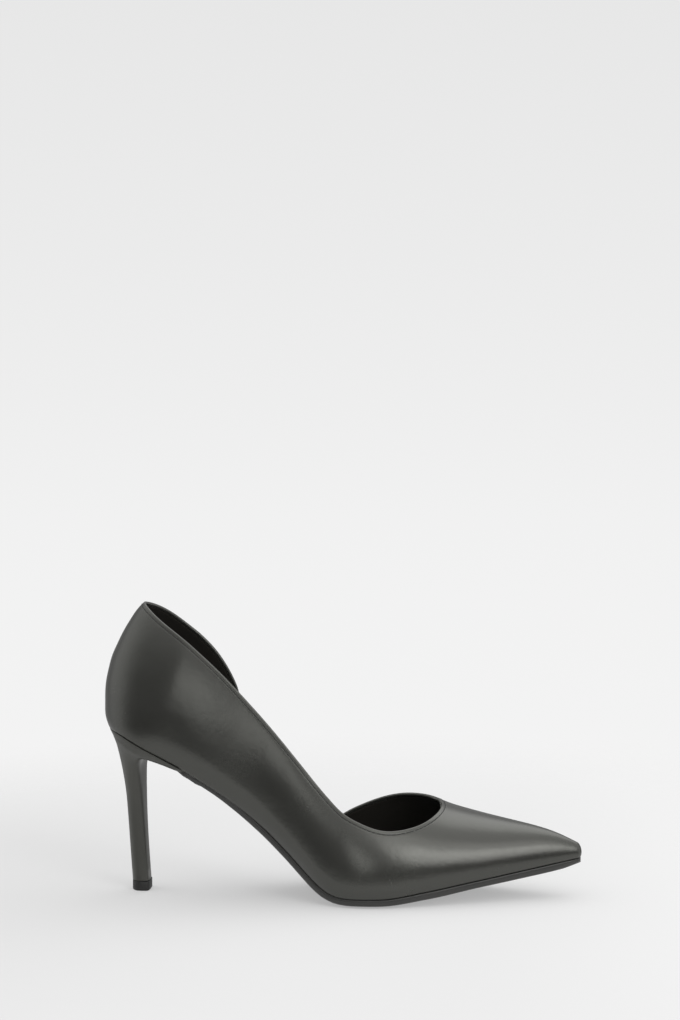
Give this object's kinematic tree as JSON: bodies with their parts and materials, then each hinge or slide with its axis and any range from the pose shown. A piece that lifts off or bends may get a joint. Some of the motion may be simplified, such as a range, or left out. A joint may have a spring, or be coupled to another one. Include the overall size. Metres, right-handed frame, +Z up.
{
  "type": "cut-out court shoe",
  "caption": "Pointed court shoe with a slim high heel, open on the inner side between heel cup and vamp: black leather upper, thin sole, covered heel with a rubber tip.",
  "frame": {"origin": "on the floor, under the middle of the shoe's box", "axes": "+X to the toe, +Y to the inner side of the foot, +Z up"},
  "size_m": [0.2382, 0.0742, 0.1456],
  "materials": {
    "upper_leather": "smooth black leather with a soft satin sheen",
    "sock_lining": "matt black lining leather",
    "sole_rubber": "satin black sole with a polished edge",
    "heel_cover": "smooth black leather glued over a moulded heel",
    "lift_rubber": "matt black hard rubber"
  },
  "bodies": {
    "root": {"upper": "upper_leather", "insole": "sock_lining", "outsole": "sole_rubber", "heel": "heel_cover", "top_lift": "lift_rubber"}
  },
  "joints": []
}
